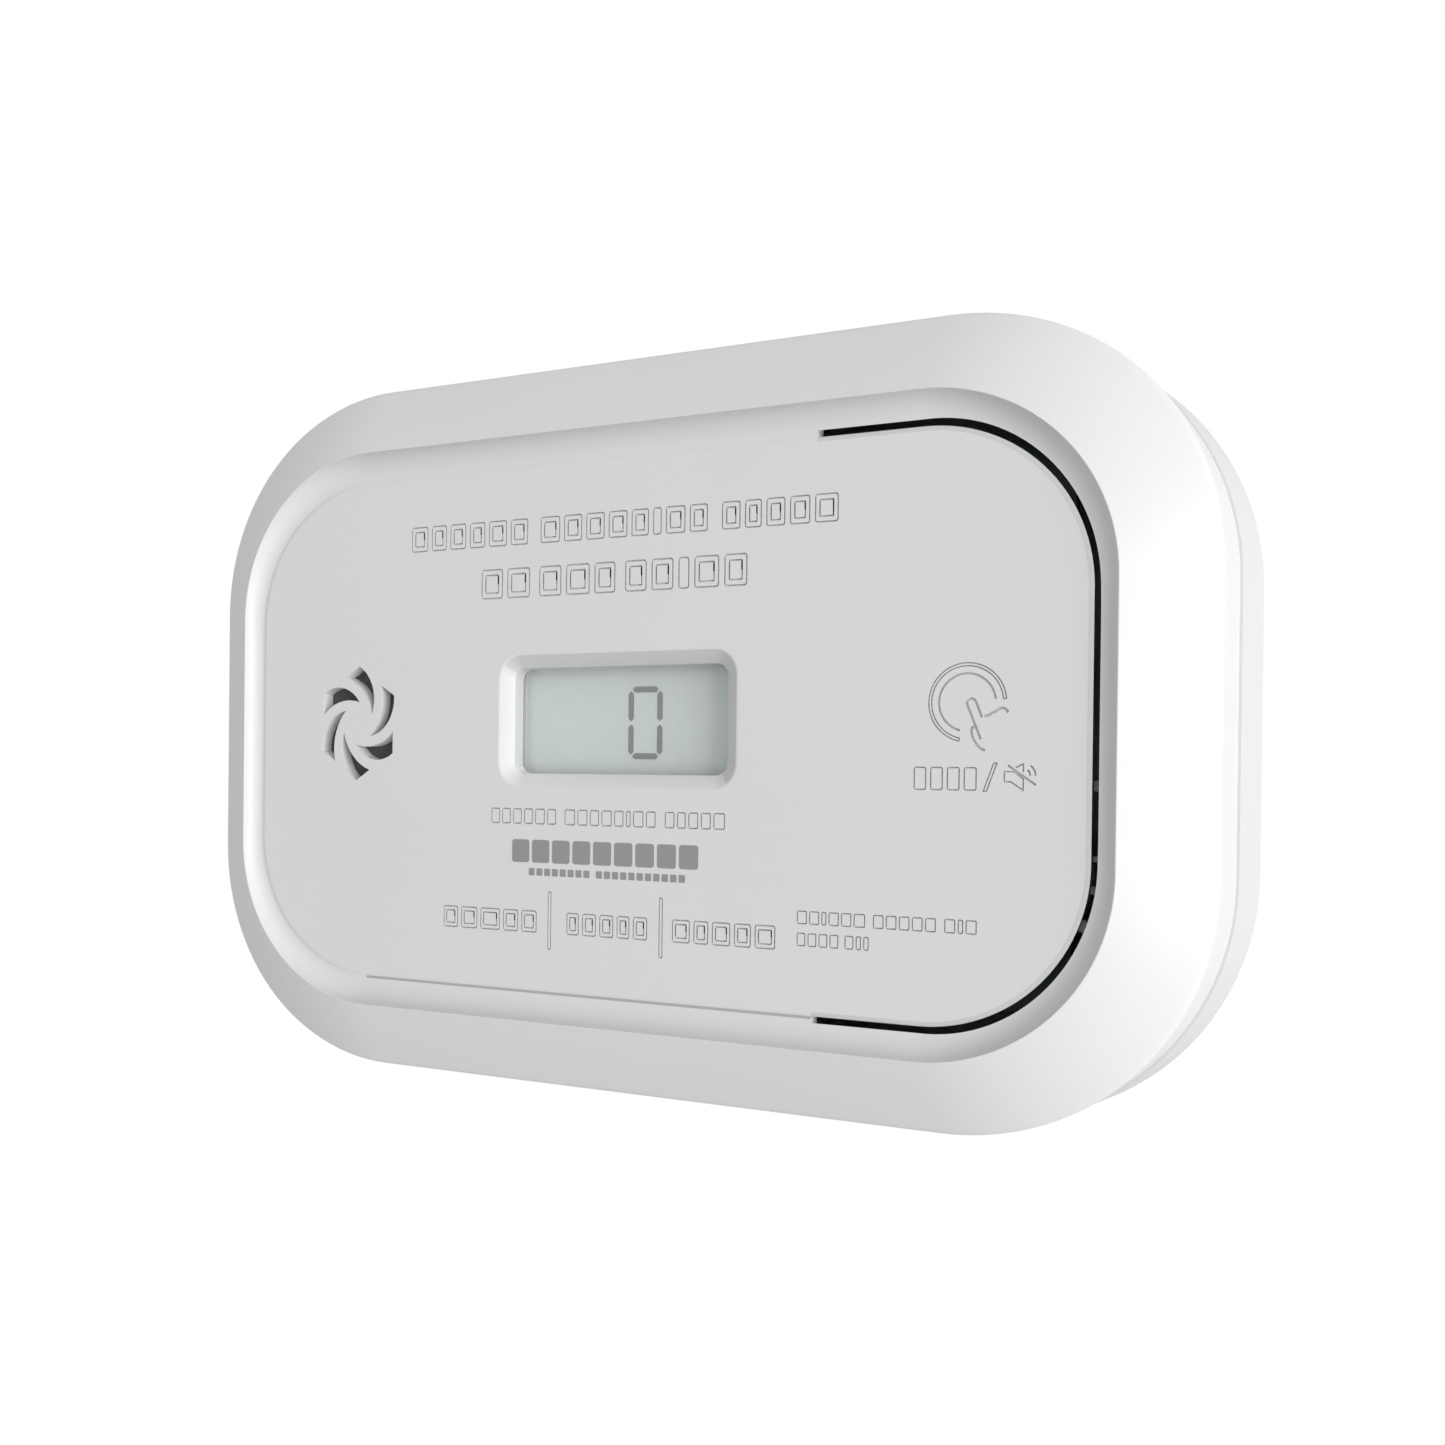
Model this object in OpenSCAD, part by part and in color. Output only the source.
// Battery carbon monoxide alarm for a wall, with a display, a swirl vent and a bending test panel.
// Each sub-part is drawn lying down: X to the right, Y up the wall and Z out of the wall.
// upright() then stands it up, so the wall is the plane Y = 0 and the front faces -Y.

/* [Case] */
// Overall width of the case at its wall side
body_w = 141.6; // [140:0.2:146]
// Overall height of the case at its wall side
body_h = 97; // [96:0.2:101]
// Depth from the wall to the rim around the front panel
body_d = 31; // [31:0.1:32]
// Corner radius of the case at its wall side
corner_r = 31.8; // [31:0.2:33]
// Wall thickness of the mouldings
wall_t = 2; // [1.8:0.1:2.2]
// Thickness of the front panel
panel_t = 1.8; // [1.6:0.1:2]
// How far the case flares from the bezel's edge to its wall side
flare = 2.6; // [2:0.1:3]
// Width of the sloping bezel
bezel_w = 9.5; // [9:0.1:10]
// Drop of the sloping bezel
bezel_drop = 6.65; // [6:0.05:7]
// Height above the wall of the seam between the cover and the rear housing
seam_z = 13.4; // [13:0.1:14]

/* [Test panel] */
// Gap around the free edges of the test panel
panel_gap = 0.6; // [0.5:0.05:0.8]
// Distance of the bending line from the middle of the case
bend_x = 25.4; // [25:0.1:26]
// Distance of the press point from the middle of the case
press_x = 44; // [43:0.5:45]

/* [Display] */
// Width of the clear opening
window_w = 30.6; // [29:0.2:31]
// Height of the clear opening
window_h = 12.8; // [12:0.2:13]
// Height of the opening's middle above the middle of the case
window_y = 0.8; // [0.5:0.1:1]

/* [Vent] */
// Distance of the vent from the middle of the case
vent_x = -39.4; // [-40:0.1:-39]
// Distance from the vent's middle to its pointed tips
vent_r = 7.6; // [7:0.1:8]
// Width of the swirl as a share of its height
vent_squeeze = 0.9; // [0.85:0.05:1]

/* [Batteries] */
// Diameter of each cell
cell_d = 14.2; // [13.9:0.1:14.3]
// Length of each cell with its button
cell_l = 50.4; // [49.8:0.1:50.5]

/* [Wall bracket] */
// Width of the bracket
bracket_w = 118; // [114:1:120]
// Height of the bracket
bracket_h = 76; // [74:1:78]
// Distance between the two wall screws
screw_pitch = 96; // [95:0.5:97]
// Width of each screw slot
slot_w = 4.5; // [4:0.1:5]
// Length of each screw slot
slot_l = 8; // [7:0.5:9]

/* [Hidden] */

$fn = 48;
fine = 120;       // facets of the large corner arcs
eps = 0.01;       // overlap that keeps cuts clean
signs = [-1, 1];

// Case outline: corner centres, and radii about them
corner_x = body_w / 2 - corner_r;
corner_y = body_h / 2 - corner_r;
edge_r = corner_r - flare;
seam_r = corner_r - 0.58 * flare;
rim_r = edge_r - bezel_w;
cove_w = 2.7;
panel_r = rim_r - cove_w;
edge_z = body_d - bezel_drop;
rim_rise = 1;
panel_z = body_d - rim_rise;
panel_back = panel_z - panel_t;
bezel_bulge = 0.35;
cove_bulge = 0.25;
crest_w = 0.15;

// Rear wall of the housing
skirt_z = 1.3;
back_z = 2.6;
back_t = 2;
skirt_t = 1.6;
skirt_chamfer = 0.4;
lip_t = 1;
lip_l = 2;
seam_gap = 0.3;

// Screw towers in the four corners
tower_x = 50;
tower_y = 35.5;
tower_r = 3.4;
tower_z = 8.5;
tower_top = edge_z + 2.1;
pilot_r = 1.2;
housing_screw_r = 1.35;
housing_screw_bore_r = 1.65;
housing_screw_tip_z = 17.5;
sleeve_r = 3.9;
head_floor_z = 5.2;
head_r = 2.8;
head_t = 1.9;

// Bracket hooks and the slots that they pass through
bracket_t = 2;
bracket_r = 16;
bracket_window_w = 74;
bracket_window_h = 56;
hook_x = 48;
hook_rows = [20, -17];
hook_w = 4;
hook_post_h = 3;
hook_lip_h = 4;
hook_lip_z = 4.9;
hook_top_z = 6.7;
hook_slot_w = 5.4;
hook_slot_h = 10;
hook_play = 0.2;
lip_window_h = 4.6;
head_pocket_w = 15;
head_pocket_h = 16;
head_pocket_z = 5.6;
head_pocket_y = -3;
head_pocket_t = 1.2;

// Two posts that carry the free edge of the board
rest_post_places = [[36, 26], [34, -28]];
rest_post_r = 2.5;

// Battery bay and its door
cell_z = 12.1;
cell_y = 7.6;
bay_w = 58;
bay_h = 31;
bay_t = 1.6;
bay_floor_z = 19.6;
bay_top_z = 20.9;
door_w = 64;
door_bottom_y = -19;
door_t = 1.5;
door_play = 0.3;
hinge_y = 19.3;
hinge_z = 3.8;
knuckle_r = 1.15;
door_pin_r = 0.8;
door_pin_bore_r = 0.87;
door_pin_l = 1.8;
ledge_z = 5;
ledge_back_z = 6.4;
ledge_w = 72;
ledge_bottom_y = -22;
ledge_top_y = 23;
finger_notch_r = 7;
grip_w = 18;
grip_pitch = 1.8;
grip_groove_w = 0.8;
grip_groove_z = 3.4;
tab_slot_w = 0.56;
tab_slot_h = 3.6;

// Circuit board
board_z = 21.6;
board_t = 1.6;
board_top = board_z + board_t;
board_h = 63;
board_left = -31;
board_right = 53;
board_post_x = [-24.5, 20.5];
board_post_y = 29;
board_post_r = 2.6;
board_pilot_r = 0.8;
board_screw_r = 0.9;
board_screw_bore_r = 1.1;

// Display stack under the front panel
window_r = 1.5;
bevel_x = 1.4;
bevel_y = 1.8;
bevel_z = 1;
collar_z = 27;
collar_t = 1.4;
glass_t = 0.8;
lcd_w = 34;
lcd_h = 17;
lcd_t = 1.7;
holder_t = 1.3;
holder_gap = 0.15;
strip_y = 6.6;
strip_l = 31;
strip_w = 1.8;

// Test switch
press_y = 2;
panel_play = 0.15;
pad_r = 1.5;
pad_z = 27.65;
plunger_r = 1.7;
plunger_top = 27.55;
plunger_z = 25.3;
switch_w = 6;
switch_top = 26.6;
switch_bore_r = 1.8;
switch_bore_z = 24.5;
switch_lip_t = 0.7;
collar_over = 0.6;
panel_rib_y = 14;
panel_rib_t = 0.8;
panel_rib_z = 27.2;
panel_rib_x = [29, 50];

// Indicator lights behind the front panel
led_r = 1.5;
led_y = -24;
led_x = [-18.4, -1.3, 14.4];
led_top = 26.4;
guide_r = 2.8;
guide_bore_r = 1.75;
thin_spot_r = 2;
thin_spot_t = 0.7;

// Sounder and gas sensor
sounder_x = -43;
sounder_y = 0.85;
chamber_r = 14.5;
chamber_z = 21.4;
chamber_top = 27.5;
step_z = 22.9;
step_r = 12.3;
cup_r = 13.6;
disc_r = 13.4;
ceramic_r = 10;
horn_r = 3.5;
partition_z = [25.2, 26.2];
sounder_ear_y = 16.8;
ear_r = 2.6;
ear_z = 22;
ear_top = 23.6;
ear_bore_r = 0.95;
ear_post_r = 2.2;
ear_pilot_r = 0.7;
ear_pilot_top = 27.4;
sensor_x = 44;
sensor_y = -17;
sensor_r = 8.3;
sensor_z = 8.6;
cap_r = 8.6;
cap_z = 7.4;
cap_lip = 0.6;
cap_h = 3;
cap_hole_r = 1.5;

// Parts on the board
chip_place = [-2, 20];
chip_size = 10;
chip_h = 1.4;
inductor_place = [12, 20];
inductor_r = 4;
inductor_h = 3.9;
flange_t = 0.9;
capacitor_x = [36.5, 44];
capacitor_y = 13;
capacitor_r = 2.9;
capacitor_h = 10;
small_chip = [2, 1.2, 0.6];
small_chip_pitch = 5;

// ---------- shared shapes ----------

module upright() rotate([90, 0, 0]) children();

// Profile of [radius, height] points, swept around a rounded rectangle.
module rounded_body(profile, cx, cy) {
    for (sx = signs, sy = signs)
        translate([sx * cx, sy * cy, 0]) rotate_extrude($fn = fine) polygon(profile);
    rotate([90, 0, 90]) translate([0, 0, -cx]) linear_extrude(2 * cx) profile_pair(profile, cy);
    rotate([90, 0, 0]) translate([0, 0, -cy]) linear_extrude(2 * cy) profile_pair(profile, cx);
}

module profile_pair(profile, reach) {
    polygon(concat(
        [for (p = profile) [reach + p[0], p[1]]],
        [for (p = reversed(profile)) [-reach - p[0], p[1]]]
    ));
}

module rounded_rect(w, h, r) {
    square([w - 2 * r, h], center = true);
    square([w, h - 2 * r], center = true);
    for (sx = signs, sy = signs) translate([sx * (w / 2 - r), sy * (h / 2 - r)]) circle(r);
}

module rounded_plate(w, h, r, z0, z1) translate([0, 0, z0]) linear_extrude(z1 - z0) rounded_rect(w, h, r);

module block(x0, x1, y0, y1, z0, z1) translate([x0, y0, z0]) cube([x1 - x0, y1 - y0, z1 - z0]);

module rod(x, y, r, z0, z1) translate([x, y, z0]) cylinder(r = r, h = z1 - z0);

module at_towers() for (sx = signs, sy = signs) translate([sx * tower_x, sy * tower_y, 0]) children();

module at_board_posts() for (x = board_post_x, sy = signs) translate([x, sy * board_post_y, 0]) children();

module at_sounder_ears() for (sy = signs) translate([sounder_x, sounder_y + sy * sounder_ear_y, 0]) children();

module at_hooks() for (sx = signs, y = hook_rows) translate([sx * hook_x, y, 0]) children();

// Points of an arc from a to b that bulges to the right of the way from a to b.
function arc_points(a, b, bulge, steps = 10) =
    let (
        chord = b - a,
        half = norm(chord) / 2,
        side = [chord[1], -chord[0]] / norm(chord),
        r = (half * half + bulge * bulge) / (2 * bulge),
        centre = (a + b) / 2 + side * (bulge - r),
        start = atan2(a[1] - centre[1], a[0] - centre[0]),
        sweep = 2 * asin(half / r)
    )
    [for (i = [0 : steps]) centre + r * [cos(start + sweep * i / steps), sin(start + sweep * i / steps)]];

function reversed(points) = [for (i = [len(points) - 1 : -1 : 0]) points[i]];

// ---------- wall bracket ----------

module mounting_bracket() color("gainsboro") upright() {
    difference() {
        rounded_plate(bracket_w, bracket_h, bracket_r, 0, bracket_t);
        rounded_plate(bracket_window_w, bracket_window_h, 6, -eps, bracket_t + eps);
        for (side = signs) translate([side * screw_pitch / 2, 0, 0]) screw_slot();
        at_hooks() block(-hook_w / 2 - hook_play, hook_w / 2 + hook_play, 0, lip_window_h, -eps, bracket_t + eps);
    }
    at_hooks() hook();
}

module screw_slot() {
    reach = (slot_l - slot_w) / 2;
    block(-reach, reach, -slot_w / 2, slot_w / 2, -eps, bracket_t + eps);
    for (side = signs) rod(side * reach, 0, slot_w / 2, -eps, bracket_t + eps);
}

module hook() {
    block(-hook_w / 2, hook_w / 2, -hook_post_h, 0, bracket_t - 1, hook_top_z);
    block(-hook_w / 2, hook_w / 2, -eps, hook_lip_h, hook_lip_z, hook_top_z);
}

// ---------- rear housing and battery door ----------

lip_r = seam_r - wall_t - 0.45;

module rear_housing() color("whitesmoke") upright() difference() {
    union() {
        difference() {
            rounded_body(housing_profile(), corner_x, corner_y);
            rounded_body(housing_cavity(), corner_x, corner_y);
            rounded_body(skirt_hollow(), corner_x, corner_y);
        }
        at_towers() rod(0, 0, sleeve_r, back_z, tower_z);
        block(-bay_w / 2 - bay_t, bay_w / 2 + bay_t, -bay_h / 2 - bay_t, bay_h / 2 + bay_t, back_z, bay_top_z);
        block(-ledge_w / 2, ledge_w / 2, ledge_bottom_y, ledge_top_y, back_z, ledge_back_z);
        head_pockets(head_pocket_t, back_z, head_pocket_z + head_pocket_t);
        for (place = rest_post_places) rod(place[0], place[1], rest_post_r, back_z, board_z);
    }
    block(-bay_w / 2, bay_w / 2, -bay_h / 2, bay_h / 2, 0, bay_floor_z);
    for (sx = signs, sy = signs) translate([sx * (bay_w / 2 - 0.25), sy * cell_y, 0])
        block(-tab_slot_w / 2, tab_slot_w / 2, -tab_slot_h / 2, tab_slot_h / 2, 0, bay_top_z + 1);
    door_recess();
    head_pockets(0, 0, head_pocket_z);
    at_hooks() block(-hook_slot_w / 2, hook_slot_w / 2, hook_play - hook_slot_h, hook_play, 0, back_z + back_t + 1);
    at_towers() rod(0, 0, housing_screw_bore_r, 0, tower_z + 1);
    at_towers() rod(0, 0, head_r + 0.3, 0, head_floor_z);
}

// Pockets over the heads of the wall screws, or the blocks round them
module head_pockets(grow, z0, z1) for (side = signs) translate([side * hook_x, head_pocket_y, 0])
    block(-head_pocket_w / 2 - grow, head_pocket_w / 2 + grow,
        -head_pocket_h / 2 - grow, head_pocket_h / 2 + grow, z0, z1);

// The profiles reach the axis, because each corner is a full turn and crosses the middle of the case.
function housing_profile() = [
    [0, skirt_z], [corner_r - skirt_chamfer, skirt_z], [corner_r, skirt_z + skirt_chamfer],
    [seam_r, seam_z - seam_gap / 2], [lip_r, seam_z - seam_gap / 2],
    [lip_r, seam_z + lip_l], [0, seam_z + lip_l]
];

function skirt_hollow() = [[0, 0], [corner_r - skirt_t, 0], [corner_r - skirt_t, back_z], [0, back_z]];

function housing_cavity() = [
    [0, back_z + back_t], [corner_r - wall_t - 0.3, back_z + back_t], [lip_r - lip_t, seam_z - 3],
    [lip_r - lip_t, seam_z + lip_l + 1], [0, seam_z + lip_l + 1]
];

module door_recess() {
    half_w = door_w / 2 + door_play;
    block(-half_w, half_w, door_bottom_y - door_play, hinge_y, 0, ledge_z);
    block(-half_w, half_w, hinge_y - eps, hinge_y + knuckle_r + 0.35, 0, hinge_z);
    along_hinge(knuckle_r + 0.35, half_w);
    along_hinge(door_pin_bore_r, door_w / 2 + door_pin_l + 0.5);
    rod(0, door_bottom_y - 2, finger_notch_r, 0, back_z + 1.2);
}

module along_hinge(r, half_l)
    translate([-half_l, hinge_y, hinge_z]) rotate([0, 90, 0]) cylinder(r = r, h = 2 * half_l);

module battery_door() color("whitesmoke") upright() difference() {
    union() {
        block(-door_w / 2, door_w / 2, door_bottom_y, hinge_y, hinge_z - door_t / 2, hinge_z + door_t / 2);
        along_hinge(knuckle_r, door_w / 2);
        along_hinge(door_pin_r, door_w / 2 + door_pin_l);
    }
    for (i = [0 : 3]) translate([0, door_bottom_y + 2 + grip_pitch * i, 0])
        block(-grip_w / 2, grip_w / 2, 0, grip_groove_w, 0, grip_groove_z);
}

// ---------- front cover and test panel ----------

module front_cover() color("white") upright() difference() {
    union() {
        difference() {
            rounded_body(cover_profile(), corner_x, corner_y);
            rounded_body(dish_profile(), corner_x, corner_y);
            rounded_body(cover_cavity(), corner_x, corner_y);
        }
        at_towers() rod(0, 0, tower_r, tower_z, tower_top);
        at_board_posts() rod(0, 0, board_post_r, board_top, panel_back + 0.5);
        at_sounder_ears() rod(0, 0, ear_post_r, ear_top, panel_back + 0.5);
        translate([0, window_y, 0]) rounded_plate(
            window_w + 2 * collar_t, window_h + 2 * collar_t, window_r + 0.8, collar_z, panel_back + 0.5);
    }
    panel_opening();
    translate([0, window_y, 0]) window_opening();
    translate([vent_x, sounder_y, 0]) vent_openings();
    for (x = led_x) rod(x, led_y, thin_spot_r, panel_back - 1, panel_z - thin_spot_t);
    at_towers() rod(0, 0, pilot_r, tower_z - 1, tower_z + 10);
    at_board_posts() rod(0, 0, board_pilot_r, board_top - 1, board_top + 3.8);
    at_sounder_ears() rod(0, 0, ear_pilot_r, ear_top - 1, ear_pilot_top);
}

function cover_profile() = concat(
    [[0, seam_z + seam_gap / 2], [seam_r, seam_z + seam_gap / 2]],
    arc_points([edge_r, edge_z], [rim_r, body_d], bezel_bulge, 4),
    [[0, body_d]]
);

// The shallow dish inside the rim, with a concave wall down to the front panel
function dish_profile() = concat(
    [[0, panel_z]],
    arc_points([panel_r, panel_z], [rim_r - crest_w, body_d], cove_bulge, 4),
    [[rim_r - crest_w, body_d + 1], [0, body_d + 1]]
);

function cover_cavity() =
    let (
        inward = wall_t / norm([bezel_drop, bezel_w]) * [bezel_drop, bezel_w],
        slope = [edge_r, edge_z] - inward,
        side_r = edge_r - wall_t,
        side_z = slope[1] + (slope[0] - side_r) * bezel_drop / bezel_w,
        top_r = slope[0] - (panel_back - slope[1]) * bezel_w / bezel_drop
    )
    [[0, seam_z - 1], [seam_r - wall_t, seam_z - 1], [seam_r - wall_t, seam_z + seam_gap],
        [side_r, side_z], [top_r, panel_back], [0, panel_back]];

module panel_shape(r) rounded_rect(2 * (corner_x + r), 2 * (corner_y + r), r, $fn = fine);

module panel_opening() intersection() {
    translate([0, 0, panel_back - 1]) linear_extrude(4) panel_shape(panel_r);
    block(bend_x - panel_play / 2, body_w, -body_h, body_h, panel_back - 1, body_d + 1);
}

module window_opening() {
    rounded_plate(window_w, window_h, window_r, collar_z - 1, body_d);
    rounded_body(
        [[0, panel_z - bevel_z], [window_r, panel_z - bevel_z], [window_r + 1.6, panel_z],
            [window_r + 1.6, body_d], [0, body_d]],
        window_w / 2 - window_r, window_h / 2 - window_r);
}

// Six curved blades: each opening runs from a point near the hub out to a straight edge.
module vent_openings() translate([0, 0, panel_back - 1]) linear_extrude(4)
    for (i = [0 : 5]) polygon([for (p = blade_points(60 * i)) [vent_squeeze * p[0], p[1]]]);

function blade_points(turn) =
    let (
        inner = polar(0.31 * vent_r, 24 + turn),
        tip = polar(vent_r, 89 + turn),
        heel = polar(0.865 * vent_r, 109 + turn)
    )
    concat(arc_points(inner, tip, 0.17 * vent_r), reversed(arc_points(inner, heel, 0.15 * vent_r)));

function polar(r, angle) = r * [cos(angle), sin(angle)];

module test_panel() color("white") upright() {
    intersection() {
        translate([0, 0, panel_back]) linear_extrude(panel_t) panel_shape(panel_r - panel_gap);
        block(bend_x + panel_play / 2, body_w, -body_h, body_h, panel_back - 1, body_d);
    }
    rod(press_x, press_y, pad_r, pad_z, panel_back + eps);
    for (side = signs) translate([0, side * panel_rib_y, 0])
        block(panel_rib_x[0], panel_rib_x[1], -panel_rib_t / 2, panel_rib_t / 2, panel_rib_z, panel_back + eps);
}

// ---------- display ----------

lcd_z = collar_z - glass_t - 0.1 - lcd_t;

module display_window() color("lightblue", 0.5) upright() translate([0, window_y, 0])
    rounded_plate(lcd_w, lcd_h, 0.8, collar_z - glass_t, collar_z);

module lcd_cell() color("darkseagreen") upright() translate([0, window_y, lcd_z])
    block(-lcd_w / 2, lcd_w / 2, -lcd_h / 2, lcd_h / 2, 0, lcd_t);

module lcd_holder() color("dimgray") upright() translate([0, window_y, 0]) difference() {
    inner_w = lcd_w + 2 * holder_gap;
    inner_h = lcd_h + 2 * holder_gap;
    rounded_plate(inner_w + 2 * holder_t, inner_h + 2 * holder_t, 1.2, board_top, panel_back - 0.2);
    block(-inner_w / 2, inner_w / 2, -inner_h / 2, inner_h / 2, board_top - 1, panel_back);
}

module lcd_connector_strips() color("pink") upright() for (side = signs)
    translate([0, window_y + side * strip_y, 0])
        block(-strip_l / 2, strip_l / 2, -strip_w / 2, strip_w / 2, board_top, lcd_z);

// ---------- circuit board and what is soldered to it ----------

module circuit_board() color("seagreen") upright() difference() {
    translate([(board_left + board_right) / 2, 0, 0])
        rounded_plate(board_right - board_left, board_h, 6, board_z, board_top);
    rod(sounder_x, sounder_y, chamber_r + 0.5, board_z - 1, board_top + 1);
    at_board_posts() rod(0, 0, board_screw_bore_r, board_z - 1, board_top + 1);
}

module switch_body() color("silver") upright() translate([press_x, press_y, 0]) difference() {
    block(-switch_w / 2, switch_w / 2, -switch_w / 2, switch_w / 2, board_top, switch_top);
    rod(0, 0, switch_bore_r, switch_bore_z, switch_top + 1);
    rod(0, 0, switch_bore_r + collar_over, switch_bore_z, switch_top - switch_lip_t);
}

module switch_plunger() color("dimgray") upright() {
    rod(press_x, press_y, plunger_r, plunger_z, plunger_top);
    rod(press_x, press_y, plunger_r + collar_over, plunger_z, plunger_z + 0.5);
}

module led(x) translate([x, led_y, 0]) {
    rod(0, 0, led_r + 0.3, board_top, board_top + 0.8);
    rod(0, 0, led_r, board_top, led_top - led_r);
    translate([0, 0, led_top - led_r]) sphere(led_r);
}

module power_led() color("limegreen") upright() led(led_x[0]);

module fault_led() color("gold") upright() led(led_x[1]);

module alarm_led() color("red") upright() led(led_x[2]);

module led_light_guide() color("black") upright() difference() {
    union() {
        for (x = led_x) rod(x, led_y, guide_r, board_top + 0.1, panel_back - 0.1);
        block(led_x[0], led_x[2], led_y - 1.2, led_y + 1.2, board_top + 0.1, board_top + 2.5);
    }
    for (x = led_x) rod(x, led_y, guide_bore_r, board_top - 1, panel_back + 1);
    for (x = led_x) rod(x, led_y, guide_bore_r + 0.35, board_top - 1, board_top + 1);
}

module microcontroller() color("black") upright() translate([chip_place[0], chip_place[1], board_top])
    block(-chip_size / 2, chip_size / 2, -chip_size / 2, chip_size / 2, 0, chip_h);

module boost_inductor() color("black") upright() translate([inductor_place[0], inductor_place[1], board_top]) {
    rod(0, 0, inductor_r, 0, flange_t);
    rod(0, 0, inductor_r - 1, 0, inductor_h);
    rod(0, 0, inductor_r, inductor_h - flange_t, inductor_h);
}

module filter_capacitors() color("midnightblue") upright()
    for (x = capacitor_x) rod(x, capacitor_y, capacitor_r, board_z - capacitor_h, board_z);

// Two rows of small chip parts along the board, and one row up its left side
module chip_components() color("tan") upright() {
    for (i = [0 : 7]) translate([-19 + small_chip_pitch * i, -14.5, board_top]) small_chip();
    for (i = [0 : 4]) translate([29 + small_chip_pitch * i, -12, board_top]) small_chip();
    for (i = [0 : 3]) translate([-23, 14 - 7 * i, board_top]) rotate(90) small_chip();
}

module small_chip() translate([-small_chip[0] / 2, -small_chip[1] / 2, 0]) cube(small_chip);

// ---------- gas sensor and sounder ----------

module co_sensor_cell() color("silver") upright() {
    rod(sensor_x, sensor_y, sensor_r, sensor_z, board_z - 0.4);
    for (i = [0 : 2]) translate([sensor_x, sensor_y, 0]) rotate(120 * i) rod(5, 0, 0.5, board_z - 0.5, board_z);
}

module co_sensor_cap() color("ivory") upright() difference() {
    rod(sensor_x, sensor_y, cap_r + cap_lip, cap_z, cap_z + cap_h);
    rod(sensor_x, sensor_y, sensor_r + 0.05, sensor_z, cap_z + cap_h + 1);
    rod(sensor_x, sensor_y, cap_hole_r, cap_z - 1, sensor_z + 1);
}

module sounder_chamber() color("dimgray") upright() difference() {
    union() {
        rod(sounder_x, sounder_y, chamber_r, chamber_z, chamber_top);
        at_sounder_ears() rod(0, 0, ear_r, ear_z, ear_top);
    }
    rod(sounder_x, sounder_y, cup_r, chamber_z - 1, step_z);
    rod(sounder_x, sounder_y, step_r, step_z - 1, partition_z[0]);
    rod(sounder_x, sounder_y, horn_r, partition_z[0] - eps, partition_z[1] + eps);
    rod(sounder_x, sounder_y, step_r, partition_z[1], chamber_top + 1);
    at_sounder_ears() rod(0, 0, ear_bore_r, ear_z - 1, ear_top + 1);
}

module sounder_disc() color("goldenrod") upright() rod(sounder_x, sounder_y, disc_r, step_z - 0.3, step_z);

module sounder_ceramic() color("ivory") upright()
    rod(sounder_x, sounder_y, ceramic_r, step_z - 0.55, step_z - 0.3);

module sounder_gasket() color("black") upright() difference() {
    rod(sounder_x, sounder_y, chamber_r - 0.1, chamber_top, panel_back);
    rod(sounder_x, sounder_y, step_r + 0.1, chamber_top - 1, panel_back + 1);
}

module vent_mesh() color("dimgray") upright() rod(vent_x, sounder_y, vent_r + 0.8, panel_back - 0.3, panel_back);

// ---------- batteries and contacts ----------

plate_x = bay_w / 2 - 0.02;
plate_t = 0.4;
spring_room = 2 * (plate_x - plate_t) - cell_l;

// A cell along X, with its button at its low end.
module cell(x0) translate([x0, 0, cell_z]) rotate([0, 90, 0]) {
    cylinder(r = 2.7, h = 1.5);
    translate([0, 0, 1.4]) cylinder(r1 = cell_d / 2 - 0.5, r2 = cell_d / 2, h = 0.5);
    translate([0, 0, 1.9]) cylinder(r = cell_d / 2, h = cell_l - 2.4);
    translate([0, 0, cell_l - 0.5]) cylinder(r1 = cell_d / 2, r2 = cell_d / 2 - 0.5, h = 0.5);
}

module battery_upper() color("slategray") upright() translate([0, cell_y, 0]) cell(-plate_x + plate_t);

module battery_lower() color("slategray") upright() translate([0, -cell_y, 0]) mirror([1, 0, 0])
    cell(-plate_x + plate_t);

module battery_contacts() color("silver") upright() for (sx = signs, sy = signs)
    translate([sx * (plate_x - plate_t / 2), sy * cell_y, 0]) {
        block(-plate_t / 2, plate_t / 2, -6, 6, 6.5, bay_floor_z - 0.1);
        block(-plate_t / 2, plate_t / 2, -1.5, 1.5, bay_floor_z - 0.2, board_z);
    }

module battery_springs() color("silver") upright() for (side = signs)
    translate([0, side * cell_y, 0]) mirror([side > 0 ? 0 : 1, 0, 0])
        translate([plate_x - plate_t, 0, cell_z]) rotate([0, -90, 0]) coil_spring(5, 2.6, spring_room);

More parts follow.
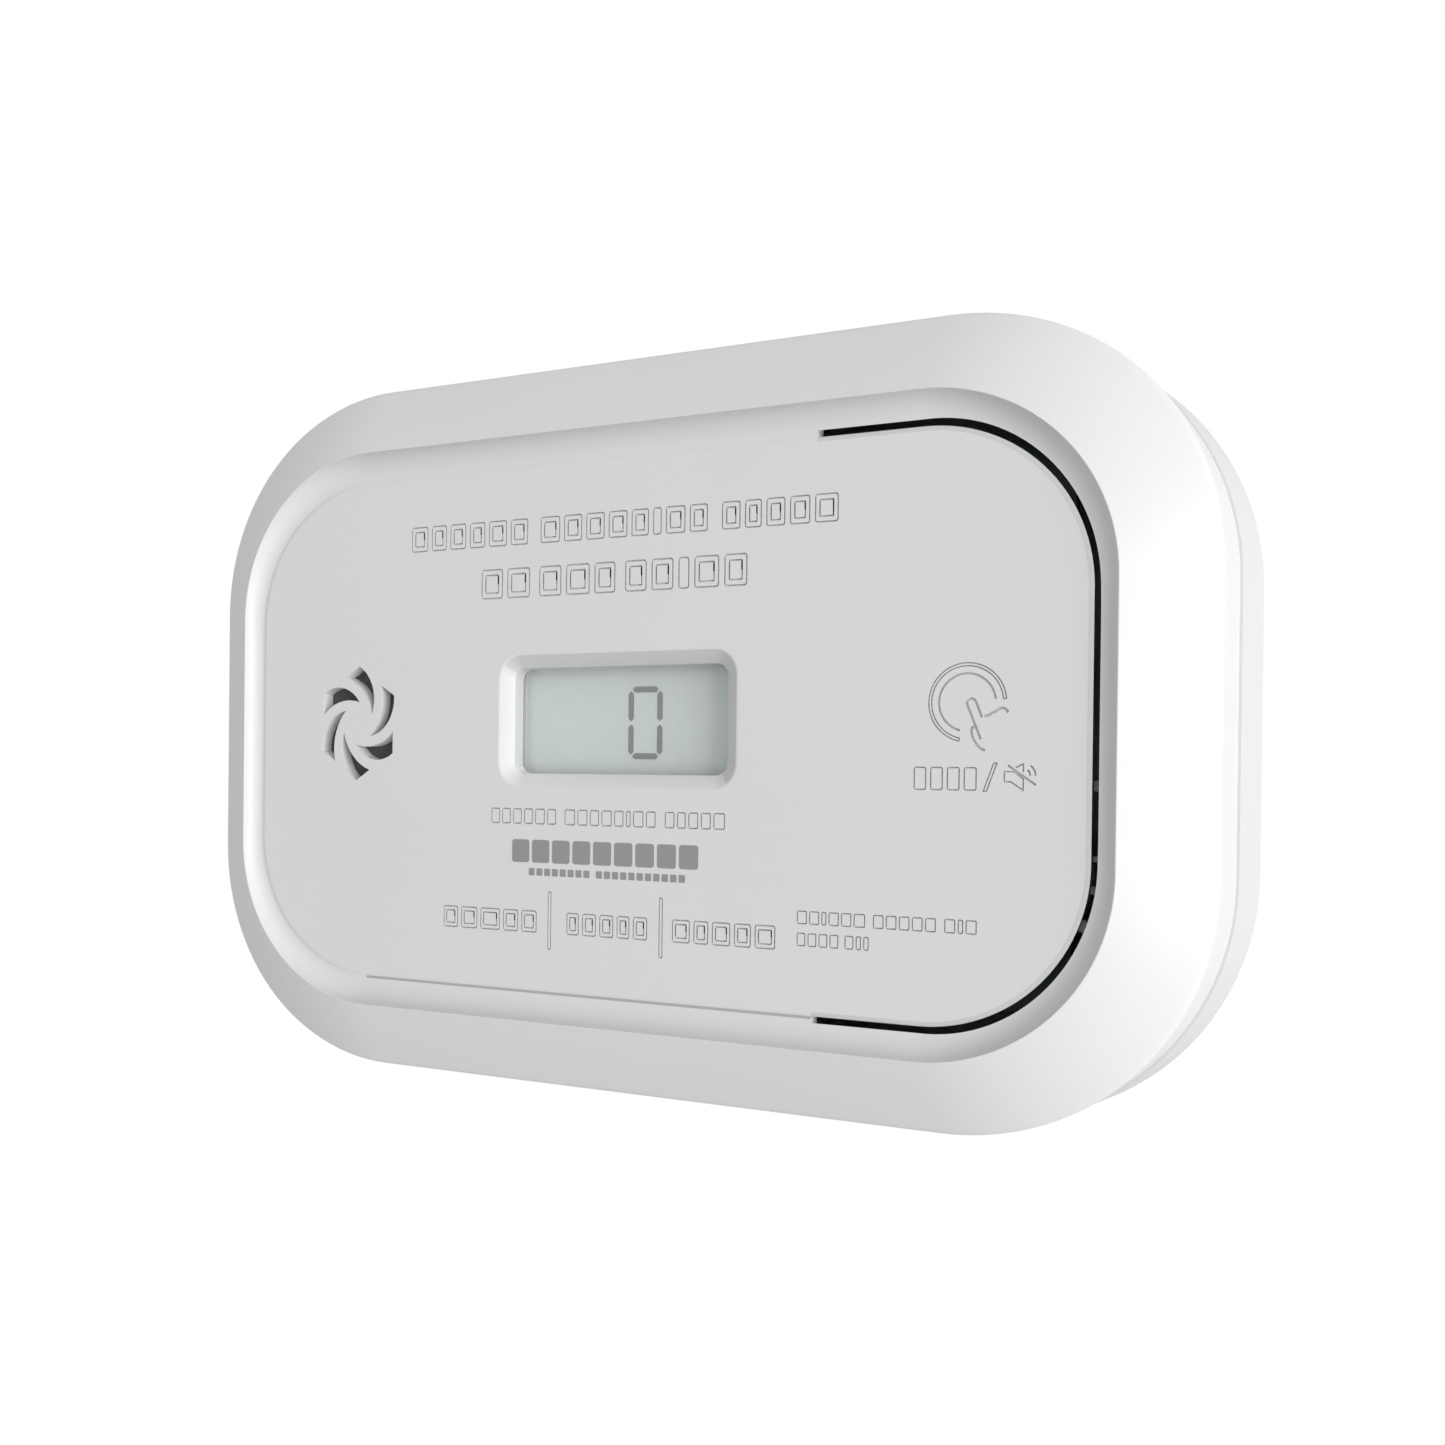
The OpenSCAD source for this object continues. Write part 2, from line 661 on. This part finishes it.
// A conical coil that stands on its wide end, swept as one tube.
module coil_spring(r_low, r_high, height, wire_r = 0.35, turns = 4) {
    sides = 8;
    steps = turns * 14;
    margin = wire_r + 0.05;
    ring = [for (i = [0 : steps]) let (
        t = i / steps,
        r = r_low + (r_high - r_low) * t,
        angle = 360 * turns * t,
        mid = [r * cos(angle), r * sin(angle), margin + (height - 2 * margin) * t]
    ) for (k = [0 : sides - 1])
        mid + wire_r * (cos(360 * k / sides) * [cos(angle), sin(angle), 0] + sin(360 * k / sides) * [0, 0, 1])];
    sleeves = [for (i = [0 : steps - 1], k = [0 : sides - 1])
        let (a = i * sides + k, b = i * sides + (k + 1) % sides) [a, a + sides, b + sides, b]];
    last = steps * sides;
    ends = [[for (k = [0 : sides - 1]) k], [for (k = [sides - 1 : -1 : 0]) last + k]];
    polyhedron(ring, concat(sleeves, ends), convexity = 8);
}

// ---------- screws ----------

// A pan-head screw that points out of the wall, with a cross recess in its head.
module screw(shaft_r, head_radius, head_z, head_h, tip_z) difference() {
    union() {
        rod(0, 0, head_radius, head_z, head_z + head_h);
        rod(0, 0, shaft_r, head_z + head_h - eps, tip_z - shaft_r);
        translate([0, 0, tip_z - shaft_r - eps]) cylinder(r1 = shaft_r, r2 = 0.25, h = shaft_r);
    }
    for (turn = [0, 90]) rotate(turn)
        block(-head_radius * 0.6, head_radius * 0.6, -0.35, 0.35, head_z - 1, head_z + head_h * 0.6);
}

module housing_screws() color("silver") upright() at_towers()
    screw(housing_screw_r, head_r, head_floor_z - head_t, head_t, housing_screw_tip_z);

module board_screws() color("silver") upright() at_board_posts()
    screw(board_screw_r, 1.9, board_z - 1.2, 1.2, board_top + 3.4);

module sounder_screws() color("silver") upright() at_sounder_ears() screw(0.8, 1.7, 20.9, 1.1, 27);

mounting_bracket();
rear_housing();
battery_door();
front_cover();
test_panel();
display_window();
lcd_cell();
lcd_holder();
lcd_connector_strips();
circuit_board();
switch_body();
switch_plunger();
power_led();
fault_led();
alarm_led();
led_light_guide();
co_sensor_cell();
co_sensor_cap();
sounder_chamber();
sounder_disc();
sounder_ceramic();
sounder_gasket();
vent_mesh();
microcontroller();
boost_inductor();
filter_capacitors();
chip_components();
battery_upper();
battery_lower();
battery_springs();
battery_contacts();
housing_screws();
board_screws();
sounder_screws();
